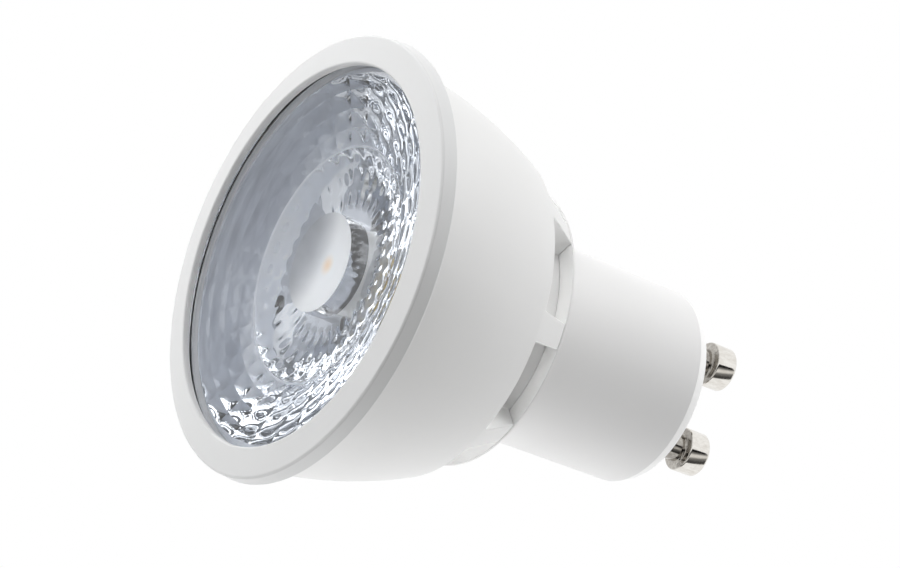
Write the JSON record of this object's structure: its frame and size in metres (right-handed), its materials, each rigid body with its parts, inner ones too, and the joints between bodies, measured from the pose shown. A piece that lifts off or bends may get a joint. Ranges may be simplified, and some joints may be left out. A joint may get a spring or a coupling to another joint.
{
  "type": "gu10 spotlight bulb",
  "caption": "Reflector-shaped LED spotlight lamp with a white bowl housing, a clear faceted lens in a front ring, a straight neck and a twist-lock cap with headed pins.",
  "frame": {"origin": "centre of the front ring's foremost edge, on the lamp axis", "axes": "+Z along the lamp axis from the lens to the pins, +X through both pins"},
  "size_m": [0.0504, 0.0504, 0.0569],
  "materials": {
    "white_moulded": "moulded white plastic, fine satin",
    "white_base": "moulded white plastic, fine satin",
    "clear_lens": "clear moulded lens with polished facets and a frosted centre",
    "nickel_pin": "nickel-plated brass, turned",
    "bare_aluminium": "pressed aluminium",
    "pad_grey": "soft filled silicone",
    "board_mask": "metal-core board with dark grey mask",
    "ceramic_white": "glazed ceramic",
    "phosphor_yellow": "phosphor-filled silicone",
    "zinc_screw": "zinc-plated steel",
    "green_board": "glass-epoxy board with green mask",
    "capacitor_sleeve": "shrink sleeve over an aluminium can",
    "ferrite": "sintered ferrite",
    "bobbin_black": "moulded phenolic",
    "winding_tape": "polyester tape over copper wire",
    "film_yellow": "moulded box",
    "disc_blue": "dipped lacquer",
    "resistor_green": "lacquered film resistor",
    "package_black": "moulded epoxy package",
    "tinned_wire": "tinned copper wire",
    "wire_black": "insulated wire",
    "wire_red": "insulated wire"
  },
  "bodies": {
    "root": {"front_bezel": "white_moulded", "housing_bowl": "white_moulded", "base_cap": "white_base", "lens": "clear_lens", "contact_pin_left": "nickel_pin", "contact_pin_right": "nickel_pin", "heatsink_cup": "bare_aluminium", "thermal_pad": "pad_grey", "led_board": "board_mask", "led_substrate": "ceramic_white", "led_phosphor": "phosphor_yellow", "board_screws": "zinc_screw", "driver_board": "green_board", "bulk_capacitor": "capacitor_sleeve", "transformer_core": "ferrite", "transformer_bobbin": "bobbin_black", "transformer_winding": "winding_tape", "film_capacitor": "film_yellow", "varistor": "disc_blue", "fusible_resistor": "resistor_green", "bridge_rectifier": "package_black", "driver_controller": "package_black", "input_wire_left": "tinned_wire", "input_wire_right": "tinned_wire", "output_wire_left": "wire_black", "output_wire_right": "wire_red"}
  },
  "joints": []
}
